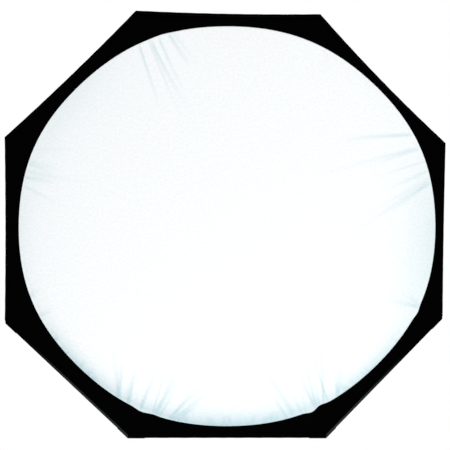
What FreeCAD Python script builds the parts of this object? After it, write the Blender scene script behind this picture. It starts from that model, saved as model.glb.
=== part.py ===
import FreeCAD, Part
import math
import os

os.makedirs("parts", exist_ok=True)

# Octabox: an eight-rod folding softbox with a recessed round diffuser.
# Millimetres. The optical axis is Y: light leaves towards -Y and the flash head
# mounts at the rear, towards +Y. +Z is up. The origin is the centre of the
# adapter's rear seat. A "profile point" is (distance from the axis, y).

# ---- driving dimensions -------------------------------------------------
CORNERS = 8
STEP = 360.0 / CORNERS
HALF = STEP / 2
COS_HALF = math.cos(math.radians(HALF))
CORNER_RADIUS = 762.0
FRONT_Y = -560.0
LIP_DEPTH = 48.0
LIP_THICKNESS = 1.5
CLOTH = 1.2
SEAM_GAP = 0.2

BORE_RADIUS = 48.0
TUBE_RADIUS = 53.0
FLANGE_RADIUS = 66.9
FLANGE_FRONT_Y = -18.7
FLANGE_REAR_Y = -9.3
CLAW_COUNT = 3
CLAW_ARC = 34.0
CLAW_LENGTH = 11.0
CLAW_HOOK_THICKNESS = 4.0
CLAW_HOOK_RADIUS = 57.0

RING_RADIUS = 80.0
RING_FRONT_Y = -19.0
RING_REAR_Y = -3.0
RING_POCKET_RADIUS = 67.3
RING_LIP_RADIUS = 56.5
RING_LIP_Y = -9.0
RETAINER_THICKNESS = 2.5
RETAINER_INNER = 58.0
RETAINER_OUTER = 78.0
SCREW_COUNT = 8
SCREW_CIRCLE = 72.5
SCREW_RADIUS = 2.0
SCREW_HEAD_RADIUS = 3.6
SCREW_HEAD_HEIGHT = 2.2
SCREW_DEPTH = 9.0

HINGE_R = 94.0
HINGE_Y = -11.0
EAR_RADIUS = 8.0
EAR_INNER = 7.3
EAR_THICKNESS = 4.0
PIN_RADIUS = 2.5
PIN_HEAD_RADIUS = 3.8
PIN_HEAD_HEIGHT = 1.5
EAR_HOLE_RADIUS = 2.52
HOLDER_HOLE_RADIUS = 2.55

HOLDER_LENGTH = 58.0
HOLDER_HALF_HEIGHT = 7.2
HOLDER_WIDTH = 14.0
SOCKET_START = 14.0
ROD_RADIUS = 3.0
SOCKET_RADIUS = 3.02
ROD_START_ANGLE = 66.0
ROD_STRAIGHT = 62.0
ROD_TIP_Y = -505.0
ROD_TO_CLOTH = 10.2
POCKET_RADIUS = 6.0
POCKET_BORE = 3.1
POCKET_LENGTH = 32.0
POCKET_END = 2.5

GORE_START = 14.0
GORE_SPANS = 14
COLLAR_INNER_R = 72.0
COLLAR_Y = -2.5
COLLAR_CLEARANCE = 1.0
COLLAR_OVERLAP = 57.0

PANEL_Y = -540.0
PANEL_APOTHEM = 700.0
DIFFUSER_RADIUS = 665.0
STRIP_THICKNESS = 1.5
STRIP_WIDTH = 25.0

BAFFLE_Y = -300.0
BAFFLE_RADIUS = 400.0
STRAP_WIDTH = 20.0
STRAP_THICKNESS = 1.5
STRAP_CLEARANCE = 3.5
STRAP_LAP = 24.0

# ---- derived rod and cover curves ---------------------------------------
LIP_REAR_Y = FRONT_Y + LIP_DEPTH
CLOTH_OFFSET = ROD_TO_CLOTH + CLOTH
WEDGE_REACH = CORNER_RADIUS * 1.1
AXIS_Y = FreeCAD.Vector(0, 1, 0)
ORIGIN = FreeCAD.Vector(0, 0, 0)


def heading(angle):
    """Unit profile direction that leans angle degrees out from the optical axis."""
    a = math.radians(angle)
    return (math.sin(a), -math.cos(a))


def outward(angle):
    """Unit profile direction square to a rod that leans at angle, pointing out."""
    a = math.radians(angle)
    return (math.cos(a), math.sin(a))


def along_holder(distance, offset=0.0):
    """Profile point on the rod's straight root, offset towards the outside."""
    d = heading(ROD_START_ANGLE)
    n = outward(ROD_START_ANGLE)
    return (
        HINGE_R + distance * d[0] + offset * n[0],
        HINGE_Y + distance * d[1] + offset * n[1],
    )


def bend_radius():
    """Radius of the rod's bow, set so that the cover ends on the lip's corner."""
    start = along_holder(ROD_STRAIGHT)
    dr = CORNER_RADIUS - start[0]
    dy = LIP_REAR_Y - start[1]
    n = outward(ROD_START_ANGLE)
    toward = dr * n[0] + dy * n[1]
    return (dr * dr + dy * dy - CLOTH_OFFSET ** 2) / (2 * (CLOTH_OFFSET - toward))


BEND = bend_radius()
BEND_CENTRE = along_holder(ROD_STRAIGHT, -BEND)
ROD_TIP_ANGLE = math.degrees(math.asin((ROD_TIP_Y - BEND_CENTRE[1]) / BEND))
COVER_END_ANGLE = math.degrees(
    math.asin((LIP_REAR_Y - BEND_CENTRE[1]) / (BEND + CLOTH_OFFSET))
)
COVER_CUT_ANGLE = COVER_END_ANGLE - 0.6


def on_bend(angle, offset=0.0):
    """Profile point on the rod's bow where it leans at angle."""
    n = outward(angle)
    return (
        BEND_CENTRE[0] + (BEND + offset) * n[0],
        BEND_CENTRE[1] + (BEND + offset) * n[1],
    )


# ---- small builders -----------------------------------------------------
def vec(profile, z=0.0):
    """Space point at azimuth zero, where +X is outward and Z is sideways."""
    return FreeCAD.Vector(profile[0], profile[1], z)


def turned(shape, azimuth):
    """Copy of a shape built at azimuth zero, turned towards +Z by azimuth."""
    copy = shape.copy()
    copy.rotate(ORIGIN, AXIS_Y, -azimuth)
    return copy


def azimuths():
    """Where the eight rods stand, counted from +X towards +Z."""
    return [HALF + STEP * k for k in range(CORNERS)]


def tube(outer, inner, y0, y1):
    """Ring round the optical axis from y0 up to y1."""
    start = FreeCAD.Vector(0, y0, 0)
    body = Part.makeCylinder(outer, y1 - y0, start, AXIS_Y)
    if inner > 0:
        body = body.cut(Part.makeCylinder(inner, y1 - y0, start, AXIS_Y))
    return body


def octagon(radius, y0, y1):
    """Solid octagon with its corners at the rods, from y0 up to y1."""
    points = []
    for azimuth in azimuths() + [HALF]:
        a = math.radians(azimuth)
        points.append(FreeCAD.Vector(radius * math.cos(a), y0, radius * math.sin(a)))
    face = Part.Face(Part.makePolygon(points))
    return face.extrude(FreeCAD.Vector(0, y1 - y0, 0))


def sideways_cylinder(radius, half_length, profile=(HINGE_R, HINGE_Y)):
    """Cylinder lying along the hinge direction, centred on azimuth zero."""
    start = vec(profile, -half_length)
    return Part.makeCylinder(radius, 2 * half_length, start, FreeCAD.Vector(0, 0, 1))


def half_wedge(reach, y0, y1):
    """The space from a rod's plane to just short of the middle of its panel."""
    lean = math.radians(HALF)
    gap = SEAM_GAP / math.cos(lean)
    points = [
        FreeCAD.Vector(gap / math.tan(lean), y0, 0),
        FreeCAD.Vector(reach, y0, 0),
        FreeCAD.Vector(reach, y0, reach * math.tan(lean) - gap),
        FreeCAD.Vector(gap / math.tan(lean), y0, 0),
    ]
    face = Part.Face(Part.makePolygon(points))
    return face.extrude(FreeCAD.Vector(0, y1 - y0, 0))


def mirrored_pair(half):
    """A half panel and its mirror image, joined along the rod."""
    other = half.mirror(ORIGIN, FreeCAD.Vector(0, 0, 1))
    return half.fuse(other).removeSplitter()


def to_apothem(profile):
    """Profile point over a rod, moved to the middle of the flat panel beside it."""
    return (profile[0] * COS_HALF, profile[1])


def panel_from(wire, width):
    """Flat-width panel whose section at mid panel is the closed wire."""
    face = Part.Face(wire)
    face.translate(FreeCAD.Vector(0, 0, -width / 2))
    return turned(face.extrude(FreeCAD.Vector(0, 0, width)), HALF)


def save(shape, name):
    """Write one node."""
    shape.exportStep("parts/" + name + ".step")


# ---- head adapter and speed ring ----------------------------------------
def head_adapter():
    """Insert that the flash head locks into: tube, flange and bayonet claws."""
    body = tube(TUBE_RADIUS, BORE_RADIUS, FLANGE_FRONT_Y, 0.0)
    body = body.fuse(tube(FLANGE_RADIUS, BORE_RADIUS, FLANGE_FRONT_Y, FLANGE_REAR_Y))
    claw = tube(TUBE_RADIUS, BORE_RADIUS + 1.0, -1.0, CLAW_LENGTH)
    hook_y = CLAW_LENGTH - CLAW_HOOK_THICKNESS
    claw = claw.fuse(tube(CLAW_HOOK_RADIUS, BORE_RADIUS + 1.0, hook_y, CLAW_LENGTH))
    for k in range(CLAW_COUNT):
        body = body.fuse(claw.common(claw_sector(90.0 + k * 360.0 / CLAW_COUNT)))
    return body.removeSplitter()


def claw_sector(azimuth):
    """Slice of space as wide as one bayonet claw."""
    reach = 2 * CLAW_HOOK_RADIUS
    half = reach * math.tan(math.radians(CLAW_ARC / 2))
    points = [
        FreeCAD.Vector(0, -1.0, 0),
        FreeCAD.Vector(reach, -1.0, -half),
        FreeCAD.Vector(reach, -1.0, half),
        FreeCAD.Vector(0, -1.0, 0),
    ]
    face = Part.Face(Part.makePolygon(points))
    return turned(face.extrude(FreeCAD.Vector(0, CLAW_LENGTH + 2.0, 0)), azimuth)


def screw_azimuths():
    """The retainer's screws stand between the rods."""
    return [k * 360.0 / SCREW_COUNT for k in range(SCREW_COUNT)]


def at_screw(shape):
    """Copies of a shape built at azimuth zero, one for each screw."""
    return [turned(shape, azimuth) for azimuth in screw_azimuths()]


def screw_hole(y0, y1):
    """Hole for one retainer screw at azimuth zero."""
    start = FreeCAD.Vector(SCREW_CIRCLE, y0, 0)
    return Part.makeCylinder(SCREW_RADIUS, y1 - y0, start, AXIS_Y)


def speed_ring():
    """Turning ring with a pair of hinge ears for each rod holder."""
    body = tube(RING_RADIUS, RING_POCKET_RADIUS, RING_FRONT_Y, RING_LIP_Y)
    body = body.fuse(tube(RING_RADIUS, RING_LIP_RADIUS, RING_LIP_Y, RING_REAR_Y))
    for azimuth in azimuths():
        for side in (-1, 1):
            body = body.fuse(turned(ring_ear(side), azimuth))
    for hole in at_screw(screw_hole(RING_FRONT_Y, RING_FRONT_Y + SCREW_DEPTH)):
        body = body.cut(hole)
    return body.removeSplitter()


def ring_ear(side):
    """One hinge ear at azimuth zero, on the given side of the holder."""
    low = EAR_INNER if side > 0 else -EAR_INNER - EAR_THICKNESS
    root = RING_RADIUS - 2.0
    block = Part.makeBox(
        HINGE_R - root,
        2 * EAR_RADIUS,
        EAR_THICKNESS,
        FreeCAD.Vector(root, HINGE_Y - EAR_RADIUS, low),
    )
    direction = FreeCAD.Vector(0, 0, 1)
    start = FreeCAD.Vector(HINGE_R, HINGE_Y, low)
    block = block.fuse(Part.makeCylinder(EAR_RADIUS, EAR_THICKNESS, start, direction))
    return block.cut(
        Part.makeCylinder(EAR_HOLE_RADIUS, EAR_THICKNESS, start, direction)
    )


def retainer_ring():
    """Flat ring screwed to the speed ring's front to keep the adapter in."""
    y0 = RING_FRONT_Y - RETAINER_THICKNESS
    body = tube(RETAINER_OUTER, RETAINER_INNER, y0, RING_FRONT_Y)
    for hole in at_screw(screw_hole(y0, RING_FRONT_Y)):
        body = body.cut(hole)
    return body


def retainer_screws():
    """Pan-head screws through the retainer, heads to the front."""
    seat = RING_FRONT_Y - RETAINER_THICKNESS
    top = RING_FRONT_Y + SCREW_DEPTH
    head_start = FreeCAD.Vector(SCREW_CIRCLE, seat - SCREW_HEAD_HEIGHT, 0)
    screw = Part.makeCylinder(SCREW_HEAD_RADIUS, SCREW_HEAD_HEIGHT, head_start, AXIS_Y)
    screw = screw.fuse(screw_hole(seat, top))
    return Part.makeCompound(at_screw(screw))


def pivot_pins():
    """Rivets through the ears that the rod holders swing on."""
    reach = EAR_INNER + EAR_THICKNESS
    pin = sideways_cylinder(PIN_RADIUS, reach)
    for start in (reach, -reach - PIN_HEAD_HEIGHT):
        head = Part.makeCylinder(
            PIN_HEAD_RADIUS,
            PIN_HEAD_HEIGHT,
            FreeCAD.Vector(HINGE_R, HINGE_Y, start),
            FreeCAD.Vector(0, 0, 1),
        )
        pin = pin.fuse(head)
    return Part.makeCompound([turned(pin, azimuth) for azimuth in azimuths()])


def rear_collar():
    """Cloth cuff that closes the gap between the ring and the cover's rear edge."""
    offset = CLOTH_OFFSET + COLLAR_CLEARANCE
    drop = along_holder(0.0, offset)[1] - COLLAR_Y
    turn_at = drop / math.cos(math.radians(ROD_START_ANGLE))
    inner = [
        (COLLAR_INNER_R, COLLAR_Y),
        along_holder(turn_at, offset),
        along_holder(COLLAR_OVERLAP, offset),
    ]
    lift = FreeCAD.Vector(0, CLOTH, 0)
    points = [vec(to_apothem(p)) for p in inner]
    points += [p.add(lift) for p in reversed(points)]
    width = 2 * 2 * COLLAR_OVERLAP + 2 * HINGE_R
    panel = panel_from(Part.makePolygon(points + points[:1]), width)
    reach = RING_RADIUS + HINGE_R + COLLAR_OVERLAP
    sector = turned(panel.common(whole_wedge(reach)), HALF)
    body = sector
    for k in range(1, CORNERS):
        body = body.fuse(turned(sector, STEP * k))
    return body.removeSplitter()


def whole_wedge(reach):
    """The space between two neighbouring rods' planes, near the ring."""
    a = math.radians(STEP)
    points = [
        FreeCAD.Vector(0, -reach, 0),
        FreeCAD.Vector(reach, -reach, 0),
        FreeCAD.Vector(reach * math.cos(a), -reach, reach * math.sin(a)),
        FreeCAD.Vector(0, -reach, 0),
    ]
    face = Part.Face(Part.makePolygon(points))
    return face.extrude(FreeCAD.Vector(0, 2 * reach, 0))


# ---- one rib: holder, rod, pocket, cover gore and lip --------------------
def rod_holder():
    """Moulded arm that swings on the pivot pin and grips the rod's root."""
    d = heading(ROD_START_ANGLE)
    block = Part.makeBox(
        HOLDER_LENGTH,
        2 * HOLDER_HALF_HEIGHT,
        HOLDER_WIDTH,
        FreeCAD.Vector(0, -HOLDER_HALF_HEIGHT, -HOLDER_WIDTH / 2),
    )
    lean = math.degrees(math.atan2(d[1], d[0]))
    block.rotate(ORIGIN, FreeCAD.Vector(0, 0, 1), lean)
    block.translate(FreeCAD.Vector(HINGE_R, HINGE_Y, 0))
    body = block.fuse(sideways_cylinder(HOLDER_HALF_HEIGHT, HOLDER_WIDTH / 2))
    body = body.cut(sideways_cylinder(HOLDER_HOLE_RADIUS, HOLDER_WIDTH / 2))
    socket = Part.makeCylinder(
        SOCKET_RADIUS,
        HOLDER_LENGTH,
        vec(along_holder(SOCKET_START)),
        vec(d),
    )
    return body.cut(socket).removeSplitter()


def bowed_tube(radius, angle_from, angle_to):
    """Length of the rod's bow as a round bar of the given radius."""
    start = vec(on_bend(angle_from))
    section = Part.Wire(Part.makeCircle(radius, start, vec(heading(angle_from))))
    face = Part.Face(section)
    sweep = angle_to - angle_from
    return face.revolve(vec(BEND_CENTRE), FreeCAD.Vector(0, 0, 1), sweep)


def rod():
    """Springy rod: straight in its holder, then bowed out to the corner pocket."""
    root = Part.makeCylinder(
        ROD_RADIUS,
        ROD_STRAIGHT - SOCKET_START,
        vec(along_holder(SOCKET_START)),
        vec(heading(ROD_START_ANGLE)),
    )
    return root.fuse(bowed_tube(ROD_RADIUS, ROD_START_ANGLE, ROD_TIP_ANGLE))


def corner_pocket():
    """Reinforced pocket that the rod's tip seats in."""
    tip = vec(on_bend(ROD_TIP_ANGLE))
    d = vec(heading(ROD_TIP_ANGLE))
    back = tip.sub(vec(heading(ROD_TIP_ANGLE)).multiply(POCKET_LENGTH))
    length = POCKET_LENGTH + POCKET_END
    cup = Part.makeCylinder(POCKET_RADIUS, length, back, d)
    open_angle = math.degrees(2 * POCKET_LENGTH / BEND)
    bore = bowed_tube(POCKET_BORE, ROD_TIP_ANGLE + open_angle, ROD_TIP_ANGLE)
    return cup.cut(bore)


def cover_profile(offset):
    """Curve of the cover over a rod, from its rear hem to the lip."""
    points = [along_holder(GORE_START, offset), along_holder(ROD_STRAIGHT / 2, offset)]
    for k in range(GORE_SPANS + 1):
        share = k / GORE_SPANS
        angle = ROD_START_ANGLE + share * (COVER_CUT_ANGLE - ROD_START_ANGLE)
        points.append(on_bend(angle, offset))
    return points


def cover_gore():
    """Cover cloth from one rod out to the middle of the panel on each side."""
    outer = cover_profile(CLOTH_OFFSET)
    inner = cover_profile(ROD_TO_CLOTH)
    loop = outer + inner[::-1] + outer[:1]
    wire = Part.makePolygon([vec(to_apothem(p)) for p in loop])
    panel = panel_from(wire, CORNER_RADIUS)
    half = panel.common(half_wedge(WEDGE_REACH, LIP_REAR_Y, -FRONT_Y))
    return mirrored_pair(half)


def lip():
    """Straight front band of the cover, one corner with half a side either way."""
    apothem = CORNER_RADIUS * COS_HALF
    wire = Part.makePolygon(
        [
            FreeCAD.Vector(apothem, FRONT_Y, 0),
            FreeCAD.Vector(apothem, LIP_REAR_Y, 0),
            FreeCAD.Vector(apothem - LIP_THICKNESS, LIP_REAR_Y, 0),
            FreeCAD.Vector(apothem - LIP_THICKNESS, FRONT_Y, 0),
            FreeCAD.Vector(apothem, FRONT_Y, 0),
        ]
    )
    panel = panel_from(wire, CORNER_RADIUS)
    half = panel.common(half_wedge(WEDGE_REACH, FRONT_Y, LIP_REAR_Y))
    return mirrored_pair(half)


# ---- front panel and inner baffle ----------------------------------------
def front_mask():
    """Opaque octagonal surround of the round diffuser."""
    outer = octagon(PANEL_APOTHEM / COS_HALF, PANEL_Y - CLOTH, PANEL_Y)
    return outer.cut(tube(DIFFUSER_RADIUS, 0, PANEL_Y - CLOTH, PANEL_Y))


def front_diffuser():
    """Round translucent cloth, sewn into the surround."""
    return tube(DIFFUSER_RADIUS, 0, PANEL_Y - CLOTH, PANEL_Y)


def fastening_strip():
    """Hook-and-loop strip on the panel's edge, turned back along the lip."""
    y1 = PANEL_Y + STRIP_WIDTH
    outer = octagon((PANEL_APOTHEM + STRIP_THICKNESS) / COS_HALF, PANEL_Y, y1)
    return outer.cut(octagon(PANEL_APOTHEM / COS_HALF, PANEL_Y, y1))


def inner_baffle():
    """Smaller diffuser hung at mid depth."""
    return octagon(BAFFLE_RADIUS, BAFFLE_Y - CLOTH / 2, BAFFLE_Y + CLOTH / 2)


def baffle_straps():
    """Elastic straps from the baffle's corners out to the rods."""
    angle = math.degrees(math.asin((BAFFLE_Y - BEND_CENTRE[1]) / BEND))
    rod_inside = on_bend(angle)[0] - ROD_RADIUS / math.cos(math.radians(angle))
    end = rod_inside - STRAP_CLEARANCE
    start = BAFFLE_RADIUS - STRAP_LAP
    corner = FreeCAD.Vector(start, BAFFLE_Y + CLOTH / 2, -STRAP_WIDTH / 2)
    strap = Part.makeBox(end - start, STRAP_THICKNESS, STRAP_WIDTH, corner)
    return Part.makeCompound([turned(strap, azimuth) for azimuth in azimuths()])


# ---- build every node -----------------------------------------------------
save(head_adapter(), "head_adapter")
save(speed_ring(), "speed_ring")
save(retainer_ring(), "retainer_ring")
save(retainer_screws(), "retainer_screws")
save(pivot_pins(), "pivot_pins")
save(rear_collar(), "rear_collar")

RIB_PIECES = {
    "rod_holder": rod_holder(),
    "rod": rod(),
    "corner_pocket": corner_pocket(),
    "cover_gore": cover_gore(),
    "lip": lip(),
}
for number, azimuth in enumerate(azimuths(), start=1):
    for piece, shape in RIB_PIECES.items():
        save(turned(shape, azimuth), piece + "_" + str(number))

save(front_mask(), "front_mask")
save(front_diffuser(), "front_diffuser")
save(fastening_strip(), "fastening_strip")
save(inner_baffle(), "inner_baffle")
save(baffle_straps(), "baffle_straps")
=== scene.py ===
import math

import bmesh
import bpy
import numpy as np
from mathutils import Matrix, Vector


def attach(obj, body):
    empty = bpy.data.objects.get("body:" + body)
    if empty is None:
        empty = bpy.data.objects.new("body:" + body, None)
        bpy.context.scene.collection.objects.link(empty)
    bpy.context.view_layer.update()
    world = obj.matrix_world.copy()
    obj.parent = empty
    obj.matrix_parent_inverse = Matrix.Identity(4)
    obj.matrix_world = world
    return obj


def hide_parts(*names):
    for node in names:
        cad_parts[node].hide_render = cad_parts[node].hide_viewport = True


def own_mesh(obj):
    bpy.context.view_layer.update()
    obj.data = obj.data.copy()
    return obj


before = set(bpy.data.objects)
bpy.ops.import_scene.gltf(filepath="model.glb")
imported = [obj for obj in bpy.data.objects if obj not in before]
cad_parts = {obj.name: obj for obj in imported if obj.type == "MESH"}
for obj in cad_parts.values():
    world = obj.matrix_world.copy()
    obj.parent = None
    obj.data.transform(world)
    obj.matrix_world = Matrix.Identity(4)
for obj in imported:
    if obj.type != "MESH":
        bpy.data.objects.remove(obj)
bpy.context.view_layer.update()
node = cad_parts


# ----------------------------------------
# Studio: a pale floor well below the softbox, a white room, a soft key light
# and a long lens that looks slightly up at the face.
# ----------------------------------------
scene = bpy.context.scene
scene.view_settings.view_transform = "Standard"
scene.view_settings.look = "None"

aim = Vector((-0.0061, -0.56, -0.0119))
camera_distance = 12.0
camera_azimuth = math.radians(0.46)
camera_elevation = math.radians(-16.3)
camera_roll = math.radians(0.17)
away = Vector((
    math.sin(camera_azimuth) * math.cos(camera_elevation),
    -math.cos(camera_azimuth) * math.cos(camera_elevation),
    math.sin(camera_elevation),
))
right = (-away).cross(Vector((0, 0, 1))).normalized()
up = right.cross(-away)
rolled_right = right * math.cos(camera_roll) + up * math.sin(camera_roll)
rolled_up = up * math.cos(camera_roll) - right * math.sin(camera_roll)
lens = bpy.data.cameras.new("studio_camera")
lens.sensor_width = 36.0
lens.lens = 302.8
lens.clip_end = 60.0
camera = bpy.data.objects.new("studio_camera", lens)
scene.collection.objects.link(camera)
camera.matrix_world = Matrix.Translation(aim + away * camera_distance) @ Matrix((
    (rolled_right.x, rolled_up.x, away.x),
    (rolled_right.y, rolled_up.y, away.y),
    (rolled_right.z, rolled_up.z, away.z),
)).to_4x4()
scene.camera = camera


def new_node(tree, kind, **values):
    """Node in a tree, with constants on the inputs that are named."""
    made = tree.nodes.new(kind)
    for label, value in values.items():
        made.inputs[label.replace("_", " ")].default_value = value
    return made


def wire(tree, *links):
    """Link sockets. Each link is a node, its output, a node and its input."""
    for start, output, end, entry in links:
        tree.links.new(start.outputs[output], end.inputs[entry])


room = bpy.data.worlds.new("white_room")
room.use_nodes = True
room_tree = room.node_tree
room_tree.nodes.clear()
room_out = new_node(room_tree, "ShaderNodeOutputWorld")
room_mix = new_node(room_tree, "ShaderNodeMixShader")
room_seen = new_node(room_tree, "ShaderNodeBackground", Color=(1, 1, 1, 1), Strength=1.0)
room_lit = new_node(room_tree, "ShaderNodeBackground", Color=(0.95, 0.99, 1.0, 1))
room_path = new_node(room_tree, "ShaderNodeLightPath")
room_coord = new_node(room_tree, "ShaderNodeTexCoord")
room_split = new_node(room_tree, "ShaderNodeSeparateXYZ")
room_ramp = new_node(
    room_tree, "ShaderNodeMapRange", From_Min=-0.7, From_Max=0.8, To_Min=0.12, To_Max=0.50)
wire(
    room_tree,
    (room_coord, "Generated", room_split, "Vector"),
    (room_split, "Z", room_ramp, "Value"),
    (room_ramp, "Result", room_lit, "Strength"),
    (room_path, "Is Camera Ray", room_mix, "Fac"),
    (room_lit, "Background", room_mix, 1),
    (room_seen, "Background", room_mix, 2),
    (room_mix, "Shader", room_out, "Surface"),
)
scene.world = room


def soft_light(name, place, size, power):
    """Large square light at place, turned to the middle of the softbox."""
    data = bpy.data.lights.new(name, "AREA")
    data.shape = "SQUARE"
    data.size = size
    data.energy = power
    light = bpy.data.objects.new(name, data)
    scene.collection.objects.link(light)
    light.location = place
    aim_line = Vector((0, -0.3, 0)) - Vector(place)
    light.rotation_euler = aim_line.to_track_quat("-Z", "Y").to_euler()
    return light


soft_light("key_light", (2.6, -8.5, 5.8), 2.0, 530.0)
soft_light("front_fill", (0.45, -3.0, -1.85), 0.8, 33.5)
soft_light("rear_light", (-2.6, 3.6, 2.6), 2.6, 210.0)

floor_mesh = bpy.data.meshes.new("studio_floor")
floor_mesh.from_pydata(
    [(-20, -20, -3.7), (20, -20, -3.7), (20, 20, -3.7), (-20, 20, -3.7)],
    [], [(0, 1, 2, 3)],
)
studio_floor = bpy.data.objects.new("studio_floor", floor_mesh)
scene.collection.objects.link(studio_floor)
floor_paint = bpy.data.materials.new("floor_paint")
floor_paint.use_nodes = True
floor_paint.node_tree.nodes["Principled BSDF"].inputs["Base Color"].default_value = (
    0.78, 0.78, 0.79, 1)
floor_paint.node_tree.nodes["Principled BSDF"].inputs["Roughness"].default_value = 0.8
floor_mesh.materials.append(floor_paint)


# ----------------------------------------
# Head adapter: a turned aluminium insert with three bayonet claws. It is
# bright, with fine lathe rings round its axis and handling marks.
# ----------------------------------------
def new_group(name, inputs, outputs):
    """Empty shader group with named sockets, and its input and output nodes."""
    tree = bpy.data.node_groups.new(name, "ShaderNodeTree")
    for label, kind, value in inputs:
        socket = tree.interface.new_socket(label, in_out="INPUT", socket_type=kind)
        if value is not None:
            socket.default_value = value
    for label, kind in outputs:
        tree.interface.new_socket(label, in_out="OUTPUT", socket_type=kind)
    return tree, tree.nodes.new("NodeGroupInput"), tree.nodes.new("NodeGroupOutput")


FLOAT = "NodeSocketFloat"
VECTOR = "NodeSocketVector"


def noise_in(tree, scale, detail, roughness=0.5):
    """Noise node inside a tree, with its fixed settings."""
    return new_node(
        tree, "ShaderNodeTexNoise", Scale=scale, Detail=detail, Roughness=roughness)


def math_in(tree, operation, a, b=None, clamp=False):
    """Math node inside a tree. Each of a and b is a number or a socket."""
    step = tree.nodes.new("ShaderNodeMath")
    step.operation = operation
    step.use_clamp = clamp
    for slot, value in enumerate((a, b)):
        if value is None:
            continue
        if isinstance(value, (int, float)):
            step.inputs[slot].default_value = value
        else:
            tree.links.new(value, step.inputs[slot])
    return step.outputs[0]


# marks: broad smudges and fine scuffs that change gloss and tone a little
marks, marks_in, marks_out = new_group(
    "handling_marks",
    [("Vector", VECTOR, None), ("Scale", FLOAT, 30.0), ("Amount", FLOAT, 0.2)],
    [("Mask", FLOAT), ("Height", FLOAT)],
)
smudge = noise_in(marks, 1.0, 3.0, 0.55)
scuff = noise_in(marks, 1.0, 6.0, 0.7)
smudge_at = new_node(marks, "ShaderNodeVectorMath")
smudge_at.operation = "SCALE"
scuff_at = new_node(marks, "ShaderNodeVectorMath")
scuff_at.operation = "SCALE"
scuff_at.inputs["Scale"].default_value = 7.0
wire(
    marks,
    (marks_in, "Vector", smudge_at, 0), (marks_in, "Scale", smudge_at, "Scale"),
    (smudge_at, 0, smudge, "Vector"), (smudge_at, 0, scuff_at, 0),
    (scuff_at, 0, scuff, "Vector"), (scuff, "Fac", marks_out, "Height"),
)
smudge_part = math_in(marks, "MULTIPLY", smudge.outputs["Fac"], 0.65)
scuff_part = math_in(marks, "MULTIPLY", scuff.outputs["Fac"], 0.35)
both_parts = math_in(marks, "ADD", smudge_part, scuff_part)
centred = math_in(marks, "SUBTRACT", both_parts, 0.5)
marks.links.new(
    math_in(marks, "MULTIPLY", centred, marks_in.outputs["Amount"]),
    marks_out.inputs["Mask"])


def new_material(name, colour, roughness, metallic=0.0, specular=0.5):
    """Material with a Principled surface and its constants set on the sockets."""
    material = bpy.data.materials.new(name)
    material.use_nodes = True
    surface = material.node_tree.nodes["Principled BSDF"]
    surface.inputs["Base Color"].default_value = (*colour, 1)
    surface.inputs["Roughness"].default_value = roughness
    surface.inputs["Metallic"].default_value = metallic
    surface.inputs["Specular IOR Level"].default_value = specular
    return material, material.node_tree, surface


def place_group(tree, group, **values):
    """Node in a material that uses a shared group, with its own values."""
    used = tree.nodes.new("ShaderNodeGroup")
    used.node_tree = group
    for label, value in values.items():
        used.inputs[label.replace("_", " ")].default_value = value
    return used


def object_coordinates(tree):
    """The piece's own coordinates, in metres."""
    return tree.nodes.new("ShaderNodeTexCoord").outputs["Object"]


def shade_by(tree, surface, mask, colour, swing, roughness, rough_swing):
    """Let a mask move the base colour and the roughness about their values."""
    tone = tree.nodes.new("ShaderNodeMix")
    tone.data_type = "RGBA"
    low = [max(0.0, c * (1 - swing)) for c in colour]
    high = [min(1.0, c * (1 + swing)) for c in colour]
    tone.inputs[6].default_value = (*low, 1)
    tone.inputs[7].default_value = (*high, 1)
    share = math_in(tree, "ADD", mask, 0.5, clamp=True)
    tree.links.new(share, tone.inputs[0])
    tree.links.new(tone.outputs[2], surface.inputs["Base Color"])
    rough = math_in(tree, "MULTIPLY", mask, rough_swing)
    tree.links.new(
        math_in(tree, "ADD", rough, roughness, clamp=True),
        surface.inputs["Roughness"])


def bump_from(tree, surface, height, strength, distance):
    """Bump that feeds the surface's normal."""
    bump = new_node(tree, "ShaderNodeBump", Strength=strength, Distance=distance)
    tree.links.new(height, bump.inputs["Height"])
    tree.links.new(bump.outputs["Normal"], surface.inputs["Normal"])
    return bump


def marked_material(name, colour, roughness, swing, rough_swing, scale, amount,
                    metallic=0.0, specular=0.5):
    """Material whose tone and gloss follow the handling marks."""
    material, tree, surface = new_material(name, colour, roughness, metallic, specular)
    place = object_coordinates(tree)
    used = place_group(tree, marks, Scale=scale, Amount=amount)
    tree.links.new(place, used.inputs["Vector"])
    shade_by(tree, surface, used.outputs["Mask"], colour, swing, roughness, rough_swing)
    return material, tree, surface, place, used


def turned_metal(name, colour, roughness, ring_spacing):
    """Lathe-turned metal: fine rings round the optical axis, and marks."""
    material, tree, surface, place, _ = marked_material(
        name, colour, roughness, 0.25, 0.35, 45.0, 0.9, metallic=1.0)
    split = tree.nodes.new("ShaderNodeSeparateXYZ")
    tree.links.new(place, split.inputs[0])
    x2 = math_in(tree, "POWER", split.outputs["X"], 2.0)
    z2 = math_in(tree, "POWER", split.outputs["Z"], 2.0)
    radius = math_in(tree, "SQRT", math_in(tree, "ADD", x2, z2))
    along = math_in(tree, "ADD", radius, split.outputs["Y"])
    turns = math_in(tree, "MULTIPLY", along, 2 * math.pi / ring_spacing)
    rings = math_in(tree, "SINE", turns)
    bump_from(tree, surface, rings, 0.25, ring_spacing * 0.05)
    return material


bright_aluminium = turned_metal("bright_turned_aluminium", (0.72, 0.73, 0.74), 0.3, 0.0007)


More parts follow.
